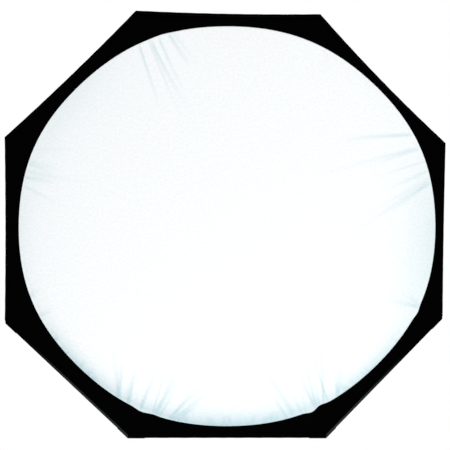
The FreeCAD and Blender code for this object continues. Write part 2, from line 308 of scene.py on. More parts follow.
def softened_copy(name, source, width, segments=2):
    """Copy of a CAD node with its sharp edges rounded, in one smooth mesh."""
    mesh = source.data.copy()
    mesh.name = name
    work = bmesh.new()
    work.from_mesh(mesh)
    bmesh.ops.remove_doubles(work, verts=work.verts, dist=1e-6)
    bmesh.ops.dissolve_limit(
        work, angle_limit=math.radians(1.0), verts=work.verts, edges=work.edges)
    work.to_mesh(mesh)
    work.free()
    mesh.materials.clear()
    piece = bpy.data.objects.new(name, mesh)
    scene.collection.objects.link(piece)
    for polygon in mesh.polygons:
        polygon.use_smooth = True
    rounding = piece.modifiers.new("rounding", "BEVEL")
    rounding.width = width
    rounding.segments = segments
    rounding.limit_method = "ANGLE"
    rounding.angle_limit = math.radians(34)
    rounding.harden_normals = False
    rounding.use_clamp_overlap = True
    view = piece.evaluated_get(bpy.context.evaluated_depsgraph_get())
    finished = bpy.data.meshes.new_from_object(view)
    piece.modifiers.clear()
    piece.data = finished
    finished.name = name
    finished.set_sharp_from_angle(angle=math.radians(40))
    return piece


def stand_for(piece, material, body, slot, *nodes):
    """Give a finished piece its material, its body and the CAD nodes it shows."""
    if material is not None:
        piece.data.materials.clear()
        piece.data.materials.append(material)
    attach(piece, body)
    if nodes:
        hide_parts(*nodes)


adapter = softened_copy("adapter_insert", node["head_adapter"], 0.0006)
stand_for(adapter, bright_aluminium, "adapter", "adapter_metal", "head_adapter")


# ----------------------------------------
# Speed ring and its retainer: a black anodised casting with machined faces,
# eight pairs of hinge ears, and a flat ring screwed on from the front.
# ----------------------------------------
black_anodised = turned_metal("black_anodised", (0.035, 0.035, 0.038), 0.42, 0.0012)
ring = softened_copy("turning_ring", node["speed_ring"], 0.0006)
stand_for(ring, black_anodised, "speed_ring", "ring_metal", "speed_ring")
retainer = softened_copy("retainer_plate", node["retainer_ring"], 0.0004)
stand_for(retainer, bright_aluminium, "speed_ring", "adapter_metal", "retainer_ring")


# ----------------------------------------
# Retainer screws: eight small button-head screws with hex sockets, zinc
# plated, one group on one pitch circle, heads to the front.
# ----------------------------------------
zinc = turned_metal("zinc_plated_steel", (0.62, 0.62, 0.64), 0.32, 0.0005)


def lathe_points(profile, steps, socket_rows=(), socket_flat=0.0):
    """Rows of points round the Y axis. Rows in socket_rows are hexagons."""
    turn = np.arange(steps) * 2 * math.pi / steps
    hexagon = socket_flat / np.cos((turn % (math.pi / 3)) - math.pi / 6)
    rows = []
    for number, (radius, y) in enumerate(profile):
        reach = hexagon if number in socket_rows else np.full(steps, radius)
        rows.append(np.stack(
            [reach * np.cos(turn), np.full(steps, y), reach * np.sin(turn)], axis=1))
    return np.array(rows)


def skin(name, rows):
    """Closed mesh object through rings of points, ends capped."""
    count, steps = rows.shape[:2]
    faces = []
    for r in range(count - 1):
        for c in range(steps):
            d = (c + 1) % steps
            faces.append((r * steps + c, r * steps + d, (r + 1) * steps + d, (r + 1) * steps + c))
    faces.append(tuple(range(steps))[::-1])
    faces.append(tuple((count - 1) * steps + c for c in range(steps)))
    mesh = bpy.data.meshes.new(name)
    mesh.from_pydata([tuple(p) for p in rows.reshape(-1, 3)], [], faces)
    work = bmesh.new()
    work.from_mesh(mesh)
    bmesh.ops.recalc_face_normals(work, faces=work.faces)
    work.to_mesh(mesh)
    work.free()
    for polygon in mesh.polygons:
        polygon.use_smooth = True
    mesh.set_sharp_from_angle(angle=math.radians(35))
    thing = bpy.data.objects.new(name, mesh)
    scene.collection.objects.link(thing)
    return thing


screw_profile = [
    (0.00002, 0.0014), (0.00125, 0.0014), (0.00125, 0.0002), (0.0016, 0.0),
    (0.0027, 0.0002), (0.0033, 0.0007), (0.0036, 0.0014), (0.0036, 0.0020),
    (0.0034, 0.0022), (0.0020, 0.0022), (0.0020, 0.0085), (0.0017, 0.0090),
    (0.00002, 0.0090),
]
screw_rows = lathe_points(screw_profile, 36, socket_rows=(1, 2), socket_flat=0.00125)
screw_form = skin("screw_form", screw_rows)


def socket_id(tree, label):
    """Identifier of a node tree's input, for setting it on the modifier."""
    for item in tree.interface.items_tree:
        if item.item_type == "SOCKET" and item.in_out == "INPUT" and item.name == label:
            return item.identifier
    raise KeyError(label)


def through_nodes(name, mesh, tree, **values):
    """Run a mesh through a Geometry Nodes tree and return the plain result."""
    carrier = bpy.data.objects.new(name, mesh)
    scene.collection.objects.link(carrier)
    modifier = carrier.modifiers.new("repeat", "NODES")
    modifier.node_group = tree
    for label, value in values.items():
        modifier[socket_id(tree, label.replace("_", " "))] = value
    carrier.update_tag()
    view = carrier.evaluated_get(bpy.context.evaluated_depsgraph_get())
    finished = bpy.data.meshes.new_from_object(view)
    carrier.modifiers.clear()
    carrier.data = finished
    finished.name = name
    return carrier


def geometry_tree(name, inputs, output):
    """Geometry Nodes tree with named inputs and one output, and its end nodes."""
    tree = bpy.data.node_groups.new(name, "GeometryNodeTree")
    for label, kind in inputs:
        tree.interface.new_socket(label, in_out="INPUT", socket_type=kind)
    tree.interface.new_socket(output, in_out="OUTPUT", socket_type="NodeSocketGeometry")
    return tree, tree.nodes.new("NodeGroupInput"), tree.nodes.new("NodeGroupOutput")


# screws_on_points: one screw on every point, each turned by a seeded amount
screw_tree, screw_in, screw_out = geometry_tree("screws_on_points", (
    ("Points", "NodeSocketGeometry"), ("Screw", "NodeSocketObject"),
    ("Material", "NodeSocketMaterial"), ("Seed", "NodeSocketInt")), "Screws")
sn = screw_tree.nodes
screw_object = sn.new("GeometryNodeObjectInfo")
screw_spots = sn.new("GeometryNodeInstanceOnPoints")
screw_turn = sn.new("FunctionNodeRandomValue")
screw_turn.data_type = "FLOAT_VECTOR"
screw_turn.inputs[0].default_value = (0, 0, 0)
screw_turn.inputs[1].default_value = (0, 2 * math.pi, 0)
screw_real = sn.new("GeometryNodeRealizeInstances")
screw_paint = sn.new("GeometryNodeSetMaterial")
wire(
    screw_tree,
    (screw_in, "Screw", screw_object, "Object"),
    (screw_in, "Points", screw_spots, "Points"),
    (screw_object, "Geometry", screw_spots, "Instance"),
    (screw_in, "Seed", screw_turn, "Seed"),
    (screw_turn, 0, screw_spots, "Rotation"),
    (screw_spots, "Instances", screw_real, "Geometry"),
    (screw_real, "Geometry", screw_paint, "Geometry"),
    (screw_in, "Material", screw_paint, "Material"),
    (screw_paint, "Geometry", screw_out, "Screws"),
)


def round_axis(radius, y, turn):
    """Point at a radius and a depth, turned round the Y axis from +X towards +Z."""
    return (radius * math.cos(turn), y, radius * math.sin(turn))


SCREW_CIRCLE = 0.0725
SCREW_HEAD_FRONT = -0.0237
spots = bpy.data.meshes.new("screw_spots")
spots.from_pydata([
    round_axis(SCREW_CIRCLE, SCREW_HEAD_FRONT, math.radians(45 * k)) for k in range(8)
], [], [])
screws = through_nodes(
    "button_head_screws", spots, screw_tree, Screw=screw_form, Material=zinc, Seed=7)
bpy.data.objects.remove(screw_form)
stand_for(screws, None, "speed_ring", "fastener_steel", "retainer_screws")


# ----------------------------------------
# Pivot pins and rod holders: plated pins through pairs of ears, and eight
# moulded holders with softened edges that grip the rods' ends.
# ----------------------------------------
pins = softened_copy("hinge_pins", node["pivot_pins"], 0.0003)
stand_for(pins, zinc, "speed_ring", "fastener_steel", "pivot_pins")

moulded, moulded_tree, moulded_surface, moulded_at, _ = marked_material(
    "moulded_black_plastic", (0.022, 0.022, 0.024), 0.5, 0.3, 0.3, 60.0, 0.8)
moulded_grain = noise_in(moulded_tree, 1500.0, 2.0)
moulded_tree.links.new(moulded_at, moulded_grain.inputs["Vector"])
bump_from(moulded_tree, moulded_surface, moulded_grain.outputs["Fac"], 0.35, 0.0002)

RIBS = range(1, 9)


def rib_azimuth(number):
    """Direction of a rib round the axis, from +X towards +Z."""
    return math.radians(22.5 + 45.0 * (number - 1))


for number in RIBS:
    holder = softened_copy(
        f"holder_moulding_{number}", node[f"rod_holder_{number}"], 0.0008)
    stand_for(holder, moulded, f"rib_{number}", "holder_plastic", f"rod_holder_{number}")


# ----------------------------------------
# Rods: round spring steel, straight where the holder grips it and bowed from
# there by the pull of the cover. A used softbox never stands quite even.
# ----------------------------------------
HINGE_RADIUS = 0.094
HINGE_Y = -0.011
LEAN = math.radians(66)
BOW_START = 0.062
FRONT_CORNER = 0.762
COVER_FRONT_Y = -0.512
CLOTH_OUTSIDE = 0.0114
ROD_RADIUS = 0.003

# how far each front corner sits off its even place, to the right and up
CORNER_SHIFT = {
    1: (-0.007, -0.030), 2: (0.008, -0.007), 3: (-0.004, 0.005), 4: (-0.007, -0.011),
    5: (0.005, -0.030), 6: (-0.017, 0.011), 7: (0.020, 0.012), 8: (-0.024, -0.014),
}
# how far the lip is pulled in between a rib and the next one
LIP_HOLLOW = {1: 0.0076, 2: 0.0048, 3: 0.0051, 4: 0.0022, 5: 0.0, 6: 0.0, 7: 0.0, 8: 0.0013}


def straight(distance, offset):
    """(radius, y) beside a straight rod at a distance from its hinge."""
    return (
        HINGE_RADIUS + distance * math.sin(LEAN) + offset * math.cos(LEAN),
        HINGE_Y - distance * math.cos(LEAN) + offset * math.sin(LEAN),
    )


bow_from = straight(BOW_START, 0.0)
bow_across = FRONT_CORNER - bow_from[0]
bow_along = COVER_FRONT_Y - bow_from[1]
BOW = (bow_across ** 2 + bow_along ** 2 - CLOTH_OUTSIDE ** 2) / (
    2 * (CLOTH_OUTSIDE - (bow_across * math.cos(LEAN) + bow_along * math.sin(LEAN))))
BOW_CENTRE = straight(BOW_START, -BOW)


def beside_rod(distance, offset):
    """(radius, y, outward angle) beside the bowed rod, by length from the hinge."""
    if distance <= BOW_START:
        return (*straight(distance, offset), LEAN)
    angle = LEAN - (distance - BOW_START) / BOW
    return (
        BOW_CENTRE[0] + (BOW + offset) * math.cos(angle),
        BOW_CENTRE[1] + (BOW + offset) * math.sin(angle),
        angle,
    )


def length_to(y, offset):
    """Length along the rod at which a line beside it reaches y."""
    angle = math.asin((y - BOW_CENTRE[1]) / (BOW + offset))
    return BOW_START + (LEAN - angle) * BOW


def settled_share(y):
    """How much of the front corners' shift is felt at a depth."""
    share = min(1.0, max(0.0, (-y - 0.04) / 0.46))
    return share ** 2


def shift_at(number, side, y):
    """Shift of the frame beside a rib. side runs from -1 to 1, half a panel each way."""
    nearby = (number if side >= 0 else number - 2) % 8 + 1
    share = abs(side) / 2
    here, there = CORNER_SHIFT[number], CORNER_SHIFT[nearby]
    felt = settled_share(y)
    return (
        felt * (here[0] * (1 - share) + there[0] * share),
        felt * (here[1] * (1 - share) + there[1] * share),
    )


spring_steel, steel_tree, steel_surface, _, steel_marks = marked_material(
    "drawn_spring_steel", (0.42, 0.42, 0.44), 0.33, 0.3, 0.4, 70.0, 1.0, metallic=1.0)
bump_from(steel_tree, steel_surface, steel_marks.outputs["Height"], 0.15, 0.0002)


def tube_points(centres, radii, steps=14):
    """Rings of points round a path, one radius for each centre."""
    centres = np.asarray(centres)
    heading = np.gradient(centres, axis=0)
    heading /= np.linalg.norm(heading, axis=1)[:, None]
    side = np.cross(heading, (0.0, 0.0, 1.0))
    short = np.linalg.norm(side, axis=1) < 0.2
    side[short] = np.cross(heading[short], (1.0, 0.0, 0.0))
    side /= np.linalg.norm(side, axis=1)[:, None]
    other = np.cross(heading, side)
    turn = np.arange(steps) * 2 * math.pi / steps
    return np.array([
        c + r * (np.cos(turn)[:, None] * s + np.sin(turn)[:, None] * o)
        for c, r, s, o in zip(centres, radii, side, other)])


def on_rib(number, distance, offset):
    """Point in the rib's own plane, with the frame's settling."""
    radius, y, _ = beside_rod(distance, offset)
    a = rib_azimuth(number)
    dx, dz = shift_at(number, 0.0, y)
    return (radius * math.cos(a) + dx, y, radius * math.sin(a) + dz)


ROD_START = 0.0145
ROD_END = length_to(-0.505, 0.0)
for number in RIBS:
    steps_along = np.concatenate([
        [ROD_START, ROD_START + 0.0006], np.linspace(ROD_START + 0.003, ROD_END - 0.003, 60),
        [ROD_END - 0.0006, ROD_END]])
    centres = [on_rib(number, d, 0.0) for d in steps_along]
    radii = np.full(len(centres), ROD_RADIUS)
    radii[0] = radii[-1] = ROD_RADIUS * 0.75
    rod = skin(f"spring_rod_{number}", tube_points(centres, radii))
    stand_for(rod, spring_steel, f"rib_{number}", "rod_steel", f"rod_{number}")


# ----------------------------------------
# Cover gores: black coated nylon, silver inside, sewn along each rod and
# pulled hollow between the rods. Each rib carries the cloth half way to the
# next rib on either side.
# ----------------------------------------
weave, weave_in, weave_out = new_group(
    "plain_weave",
    [("Vector", VECTOR, None), ("Spacing", FLOAT, 0.001), ("Slub", FLOAT, 0.3)],
    [("Height", FLOAT), ("Mask", FLOAT)],
)
weave_split = weave.nodes.new("ShaderNodeSeparateXYZ")
weave.links.new(weave_in.outputs["Vector"], weave_split.inputs[0])
per_thread = math_in(weave, "DIVIDE", 2 * math.pi, weave_in.outputs["Spacing"])
warp = math_in(weave, "SINE", math_in(weave, "MULTIPLY", weave_split.outputs["X"], per_thread))
weft = math_in(weave, "SINE", math_in(weave, "MULTIPLY", weave_split.outputs["Y"], per_thread))
crossing = math_in(weave, "MULTIPLY", warp, weft)
slub = noise_in(weave, 130.0, 3.0)
weave.links.new(weave_in.outputs["Vector"], slub.inputs["Vector"])
slub_centred = math_in(weave, "SUBTRACT", slub.outputs["Fac"], 0.5)
slub_part = math_in(weave, "MULTIPLY", slub_centred, weave_in.outputs["Slub"])
weave.links.new(math_in(weave, "ADD", crossing, slub_part), weave_out.inputs["Height"])
weave.links.new(slub_part, weave_out.inputs["Mask"])


def cloth_material(name, colour, roughness, spacing, slub, strength, swing=0.8,
                   metallic=0.0, specular=0.3):
    """Woven material that reads the sheet's own UV, which is in metres."""
    material, tree, surface = new_material(name, colour, roughness, metallic, specular)
    place = tree.nodes.new("ShaderNodeUVMap")
    place.uv_map = "cut"
    used = place_group(tree, weave, Spacing=spacing, Slub=slub)
    tree.links.new(place.outputs[0], used.inputs["Vector"])
    shade_by(tree, surface, used.outputs["Mask"], colour, swing, roughness, 0.3)
    bump_from(tree, surface, used.outputs["Height"], strength, spacing * 0.25)
    return material


black_nylon = cloth_material(
    "black_coated_nylon", (0.016, 0.016, 0.017), 0.48, 0.0012, 0.5, 0.5, specular=0.4)
silver_lining = cloth_material(
    "silver_lining", (0.74, 0.75, 0.76), 0.33, 0.0035, 0.8, 0.6, swing=0.25, metallic=0.85,
    specular=0.5)


def cloth(name, grid, thickness, materials, wrap=False, flip=False, facing=None, cut=None):
    """Thin closed sheet through a grid of points, with its cut as UV in metres."""
    grid = np.asarray(grid, dtype=float)
    if flip:
        grid = grid[:, ::-1]
    rows, cols = grid.shape[:2]
    along = np.gradient(grid, axis=0)
    if wrap:
        across = (np.roll(grid, -1, axis=1) - np.roll(grid, 1, axis=1)) / 2
    else:
        across = np.gradient(grid, axis=1)
    normal = np.cross(across, along)
    normal /= np.maximum(np.linalg.norm(normal, axis=2), 1e-12)[:, :, None]
    if facing is not None:
        normal = np.broadcast_to(np.array(facing, dtype=float), grid.shape)
    points = np.concatenate([
        (grid + normal * thickness / 2).reshape(-1, 3),
        (grid - normal * thickness / 2).reshape(-1, 3)])
    shift = rows * cols
    width = cols if wrap else cols - 1
    r, c = np.meshgrid(np.arange(rows - 1), np.arange(width), indexing="ij")
    r, c = r.ravel(), c.ravel()
    d = (c + 1) % cols
    a, b, e, f = r * cols + c, r * cols + d, (r + 1) * cols + d, (r + 1) * cols + c
    top = np.stack([a, b, e, f], axis=1)
    under = np.stack([a, f, e, b], axis=1) + shift
    c0 = np.arange(width)
    d0 = (c0 + 1) % cols
    last = (rows - 1) * cols
    rims = [
        np.stack([c0 + shift, d0 + shift, d0, c0], axis=1),
        np.stack([last + c0, last + d0, last + d0 + shift, last + c0 + shift], axis=1),
    ]
    if not wrap:
        r0 = np.arange(rows - 1) * cols
        r1 = r0 + cols
        rims.append(np.stack([r0, r1, r1 + shift, r0 + shift], axis=1))
        q0, q1 = r0 + cols - 1, r1 + cols - 1
        rims.append(np.stack([q0 + shift, q1 + shift, q1, q0], axis=1))
    rim = np.concatenate(rims)
    faces = np.concatenate([top, under, rim])
    mesh = bpy.data.meshes.new(name)
    mesh.from_pydata(points.tolist(), [], faces.tolist())
    if cut is None:
        step_u = np.linalg.norm(np.diff(grid, axis=1), axis=2)
        step_v = np.linalg.norm(np.diff(grid, axis=0), axis=2)
        u = np.concatenate([np.zeros((rows, 1)), np.cumsum(step_u, axis=1)], axis=1)
        u -= u[:, cols // 2][:, None]
        v = np.concatenate([[0.0], np.cumsum(step_v.mean(axis=1))])
        v = np.repeat(v[:, None], cols, axis=1)
        cut = np.stack([u, v], axis=2)
    cut = np.concatenate([np.asarray(cut).reshape(-1, 2)] * 2)
    layer = mesh.uv_layers.new(name="cut")
    corners = np.empty(len(mesh.loops), dtype=np.int32)
    mesh.loops.foreach_get("vertex_index", corners)
    layer.data.foreach_set("uv", cut[corners].astype(np.float32).ravel())
    for material in materials:
        mesh.materials.append(material)
    slots = np.zeros(len(faces), dtype=np.int32)
    if len(materials) > 1:
        slots[len(top):len(top) + len(under)] = 1
    mesh.polygons.foreach_set("material_index", slots)
    mesh.polygons.foreach_set("use_smooth", np.ones(len(faces), dtype=bool))
    mesh.update()
    mesh.set_sharp_from_angle(angle=math.radians(50))
    piece = bpy.data.objects.new(name, mesh)
    scene.collection.objects.link(piece)
    return piece


GORE_START = 0.0145
GORE_END = length_to(COVER_FRONT_Y, CLOTH_OUTSIDE)
HALF_STEP = math.radians(22.5)


def hollow_between(number, side):
    """Pull of the lip inwards beside a rib."""
    return LIP_HOLLOW[number if side >= 0 else (number - 2) % 8 + 1]


def on_panel(number, side, radius, y, outward, sag):
    """Point across a panel from a rib: side -1 to 1, sag inwards at its middle."""
    a = rib_azimuth(number)
    way = 1 if side >= 0 else -1
    corner = np.array([math.cos(a), math.sin(a)]) * radius
    middle_at = a + way * HALF_STEP
    facing = np.array([math.cos(middle_at), math.sin(middle_at)])
    middle = facing * radius * math.cos(HALF_STEP)
    flat = corner * (1 - abs(side)) + middle * abs(side)
    pull = sag * abs(side) * (2 - abs(side))
    flat = flat - facing * pull * math.cos(outward)
    depth = y - pull * math.sin(outward)
    dx, dz = shift_at(number, side, y)
    return np.array([flat[0] + dx, depth, flat[1] + dz])


def on_gore(number, side, distance, offset):
    """Point on the cover beside a rib, by length along the rod."""
    radius, y, outward = beside_rod(distance, offset)
    share = (distance - GORE_START) / (GORE_END - GORE_START)
    share = min(1.0, max(0.0, share))
    sag = 0.020 * math.sin(math.pi * share) ** 1.2 + hollow_between(number, side) * share ** 2
    fade = abs(side) * (1 - abs(side)) ** 2
    ripple = 0.0085 * fade * math.sin(math.pi * share) * (
        math.sin(distance * 95 + number * 1.7 + side * 2.2)
        + 0.6 * math.sin(distance * 210 + number * 0.9))
    return on_panel(number, side, radius, y, outward, sag + ripple)


def tying(piece, number):
    """Ride on a rib, with a copy of the mesh of its own."""
    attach(piece, f"rib_{number}")
    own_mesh(piece)


gore_distances = np.linspace(GORE_START, GORE_END, 111)
gore_sides = np.linspace(-1, 1, 41)
for number in RIBS:
    grid = [[on_gore(number, t, d, CLOTH_OUTSIDE - 0.0006) for t in gore_sides]
            for d in gore_distances]
    gore = cloth(f"nylon_gore_{number}", grid, 0.0012, [black_nylon, silver_lining])
    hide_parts(f"cover_gore_{number}")
    tying(gore, number)


# ----------------------------------------
# Seam tapes and stitches on the cover: a ribbed tape bound over the seam on
# each rod, held by two rows of lockstitch, and a third row along the lip.
# ----------------------------------------
webbing = cloth_material("black_ribbed_tape", (0.016, 0.016, 0.017), 0.6, 0.0018, 0.6, 0.9)
thread_black = marked_material(
    "black_thread", (0.022, 0.022, 0.024), 0.45, 0.4, 0.3, 400.0, 1.2)[0]

# stitch_row: separate stitches along each polyline, seeded uneven by a little
stitch_tree, stitch_in, stitch_out = geometry_tree("stitch_row", (
    ("Lines", "NodeSocketGeometry"), ("Pitch", FLOAT), ("Stitch", FLOAT), ("Thread", FLOAT),
    ("Material", "NodeSocketMaterial"), ("Seed", "NodeSocketInt")), "Stitches")
tn = stitch_tree.nodes
to_curve = tn.new("GeometryNodeMeshToCurve")
spaced = tn.new("GeometryNodeResampleCurve")
if hasattr(spaced, "mode"):
    spaced.mode = "LENGTH"
else:
    spaced.inputs["Mode"].default_value = "Length"
tangent = tn.new("GeometryNodeInputTangent")
facing_along = tn.new("FunctionNodeAlignRotationToVector")
facing_along.axis = "Z"
on_points = tn.new("GeometryNodeInstanceOnPoints")
stitch_line = tn.new("GeometryNodeMeshCylinder")
stitch_line.fill_type = "TRIANGLE_FAN"
stitch_line.inputs["Vertices"].default_value = 6
uneven = tn.new("FunctionNodeRandomValue")
uneven.data_type = "FLOAT_VECTOR"
uneven.inputs[0].default_value = (0.85, 0.85, 0.9)
uneven.inputs[1].default_value = (1.1, 1.1, 1.05)
stitches_real = tn.new("GeometryNodeRealizeInstances")
stitches_paint = tn.new("GeometryNodeSetMaterial")
wire(
    stitch_tree,
    (stitch_in, "Lines", to_curve, "Mesh"),
    (to_curve, "Curve", spaced, "Curve"),
    (stitch_in, "Pitch", spaced, "Length"),
    (tangent, "Tangent", facing_along, "Vector"),
    (spaced, "Curve", on_points, "Points"),
    (stitch_in, "Thread", stitch_line, "Radius"),
    (stitch_in, "Stitch", stitch_line, "Depth"),
    (stitch_line, "Mesh", on_points, "Instance"),
    (facing_along, "Rotation", on_points, "Rotation"),
    (stitch_in, "Seed", uneven, "Seed"),
    (uneven, 0, on_points, "Scale"),
    (on_points, "Instances", stitches_real, "Geometry"),
    (stitches_real, "Geometry", stitches_paint, "Geometry"),
    (stitch_in, "Material", stitches_paint, "Material"),
    (stitches_paint, "Geometry", stitch_out, "Stitches"),
)


def stitched(name, lines, material, seed, pitch=0.0045, stitch=0.0033, thread=0.00038):
    """Stitches along several lines of points, as one plain mesh."""
    points, edges = [], []
    for line in lines:
        first = len(points)
        points += [tuple(p) for p in line]
        edges += [(first + k, first + k + 1) for k in range(len(line) - 1)]
    mesh = bpy.data.meshes.new(name)
    mesh.from_pydata(points, edges, [])
    return through_nodes(name, mesh, stitch_tree, Pitch=pitch, Stitch=stitch,
                         Thread=thread, Material=material, Seed=seed)


TAPE_HALF = 0.013
TAPE_LIFT = 0.0008


def side_for(distance, across):
    """Panel side value that lies a set length across from the rod's seam."""
    radius, _, _ = beside_rod(distance, CLOTH_OUTSIDE)
    return across / (radius * math.sin(HALF_STEP))


TAPE_START = 0.060
tape_distances = np.linspace(TAPE_START, GORE_END, 100)
for number in RIBS:
    grid = [[on_gore(number, side_for(d, w), d, CLOTH_OUTSIDE + TAPE_LIFT)
             for w in np.linspace(-TAPE_HALF, TAPE_HALF, 13)] for d in tape_distances]
    tape = cloth(f"seam_tape_{number}", grid, 0.0010, [webbing])
    tying(tape, number)
    lines = [[on_gore(number, side_for(d, w), d, CLOTH_OUTSIDE + 0.0015)
              for d in tape_distances] for w in (-0.0098, 0.0098)]
    rows = stitched(f"tape_stitches_{number}", lines, thread_black, seed=number)
    tying(rows, number)


# ----------------------------------------
# Lip: the front band of the cover. One strip of black cloth runs from the
# cover's edge to the face and is hemmed back on itself inside, with a double
# row of topstitching. A strip of loop tape inside takes the front panel. The
# outside of the two lower slanting sides is painted lighter towards their
# bottom corners: painted side light.
# ----------------------------------------
lip_black = cloth_material(
    "black_lip_cloth", (0.0012, 0.0012, 0.0012), 1.0, 0.0010, 0.6, 0.5, specular=0.0)


def tinted_by(material, attribute, tint, blend_type="MIX"):
    """Let an attribute of the mesh mix a tint into the base colour."""
    tree = material.node_tree
    surface = tree.nodes["Principled BSDF"]
    share = tree.nodes.new("ShaderNodeAttribute")
    share.attribute_name = attribute
    mixed = tree.nodes.new("ShaderNodeMix")
    mixed.data_type = "RGBA"
    mixed.blend_type = blend_type
    mixed.inputs[7].default_value = (*tint, 1)
    tree.links.new(share.outputs["Fac"], mixed.inputs[0])
    tree.links.new(surface.inputs["Base Color"].links[0].from_socket, mixed.inputs[6])
    tree.links.new(mixed.outputs[2], surface.inputs["Base Color"])
    return surface


# painted side light: a grey-green tint mixed into the black where the lip's outer face is painted
# lit
tinted_by(lip_black, "painted_side_light", (0.046, 0.060, 0.049))
lip_thread = marked_material(
    "matt_black_thread", (0.0014, 0.0014, 0.0014), 1.0, 0.4, 0.0, 400.0, 1.2,
    specular=0.0)[0]
hook_tape, hook_tree, hook_surface = new_material(
    "hook_and_loop_black", (0.012, 0.012, 0.013), 0.9)
hook_at = hook_tree.nodes.new("ShaderNodeUVMap")
hook_at.uv_map = "cut"
hook_fuzz = noise_in(hook_tree, 900.0, 4.0, 0.7)
hook_tree.links.new(hook_at.outputs[0], hook_fuzz.inputs["Vector"])
bump_from(hook_tree, hook_surface, hook_fuzz.outputs["Fac"], 0.9, 0.0008)
hook_marks = place_group(hook_tree, marks, Scale=50.0, Amount=0.8)
hook_tree.links.new(hook_at.outputs[0], hook_marks.inputs["Vector"])
shade_by(hook_tree, hook_surface, hook_marks.outputs["Mask"], (0.012, 0.012, 0.013), 0.4, 0.9, 0.2)


def on_lip(number, side, inset, y):
    """Point on the lip's wall, inset towards the axis from its outer face."""
    return on_panel(number, side, FRONT_CORNER - inset / math.cos(HALF_STEP), y,
                    0.0, hollow_between(number, side))


# inset and y across the strip, from the cover's edge over the fold to the hem
lip_section = [
    (0.0006, -0.5105), (0.0006, -0.5170), (0.0005, -0.5260), (0.0004, -0.5350),
    (0.0004, -0.5440), (0.0005, -0.5520), (0.0004, -0.5565), (0.0005, -0.5582),
    (0.0009, -0.5592), (0.0015, -0.5596), (0.0022, -0.5592), (0.0026, -0.5582),
    (0.0027, -0.5565), (0.0025, -0.5530), (0.0026, -0.5490), (0.0025, -0.5440),
]
LIP_FOLD_ROW = 7  # last row of the section that is on the outer face
# where the painted side light starts on each lower lip, as a share of its slanting side
SIDE_LIGHT_FROM = {5: 0.12, 6: 0.12, 7: 0.26, 8: 0.26}
SIDE_LIGHT_RUN = 0.50


def side_light_at(number, side):
    """How much painted side light the outer face gets: on the two lower slanting sides, most at
    the bottom.
    """
    down = {(5, True): side / 2, (6, False): 1 + side / 2,
            (7, True): 1 - side / 2, (8, False): -side / 2}.get((number, side > 0), 0.0)
    share = min(max((down - SIDE_LIGHT_FROM.get(number, 1.0)) / SIDE_LIGHT_RUN, 0.0), 1.0)
    return share * share * (3 - 2 * share)


lip_sides = np.linspace(-1, 1, 65)
for number in RIBS:
    grid = [[on_lip(number, t, inset + 0.0002 * math.sin(31 * t + number), y)
             for t in lip_sides] for inset, y in lip_section]
    lip = cloth(f"hemmed_lip_{number}", grid, 0.0008, [lip_black])
    # painted side light on the outer face of the two lower slanting sides
    side_light_shares = lip.data.attributes.new("painted_side_light", "FLOAT", "FACE")
    for polygon in lip.data.polygons:
        cells = [divmod(v % (len(lip_section) * len(lip_sides)), len(lip_sides))
                 for v in polygon.vertices]
        side = sum(lip_sides[col] for row, col in cells) / len(cells)
        outside = max(row for row, col in cells) <= LIP_FOLD_ROW
        side_light_shares.data[polygon.index].value = side_light_at(number, side) if outside else 0.0
    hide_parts(f"lip_{number}")
    tying(lip, number)
    loop = cloth(f"loop_tape_{number}",
                 [[on_lip(number, t, 0.0018, y) for t in lip_sides]
                  for y in np.linspace(-0.5155, -0.5395, 5)],
                 0.0008, [hook_tape])
    tying(loop, number)
    lines = [[on_lip(number, t, -0.0001, y) for t in lip_sides]
             for y in (-0.5145, -0.5395, -0.5465)]
    rows = stitched(f"lip_stitches_{number}", lines, lip_thread, seed=20 + number)
    tying(rows, number)


# ----------------------------------------
# Corner pockets: a sleeve of folded webbing in each front corner takes the
# rod's tip, and a patch outside spreads the pull, with bartacks at its ends.
# ----------------------------------------
POCKET_OUTSIDE = 0.0056
pocket_from = length_to(-0.476, 0.0)
for number in RIBS:
    centre_steps = np.linspace(pocket_from, ROD_END + 0.0015, 14)
    centres = np.array([on_rib(number, d, 0.0) for d in centre_steps])
    radii = np.full(len(centres), POCKET_OUTSIDE - 0.0010)
    radii[0] = POCKET_OUTSIDE - 0.0006
    grid = tube_points(centres, radii, steps=24)
    closing = np.repeat(centres[-1:][:, None, :], 24, axis=1)
    closing = closing + (grid[-1:] - closing) * 0.25 + (centres[-1] - centres[-2]) * 0.35
    grid = np.concatenate([grid, closing])
    pocket = cloth(f"tip_pocket_{number}", grid, 0.0018, [webbing], wrap=True, flip=True)
    stand_for(pocket, None, f"rib_{number}", "pocket_webbing", f"corner_pocket_{number}")
    patch_distances = np.linspace(GORE_END - 0.070, GORE_END - 0.001, 22)
    grid = [[on_gore(number, side_for(d, w * (0.018 + 0.032 * k / 21)), d,
                     CLOTH_OUTSIDE + 0.0018)
             for w in np.linspace(-1, 1, 25)] for k, d in enumerate(patch_distances)]
    patch = cloth(f"corner_patch_{number}", grid, 0.0010, [webbing])
    tying(patch, number)
    border = [[on_gore(number, side_for(d, w * (0.015 + 0.032 * k / 21)), d,
                       CLOTH_OUTSIDE + 0.0024)
               for k, d in enumerate(patch_distances)] for w in (-1, 1)]
    tacks = [[on_gore(number, side_for(d, w), d, CLOTH_OUTSIDE + 0.0025)
              for w in np.linspace(-0.010, 0.010, 7)]
             for d in np.linspace(GORE_END - 0.066, GORE_END - 0.062, 5)]
    rows = stitched(f"patch_stitches_{number}", border + tacks, thread_black,
                    seed=40 + number, pitch=0.0036, stitch=0.0028)
    tying(rows, number)


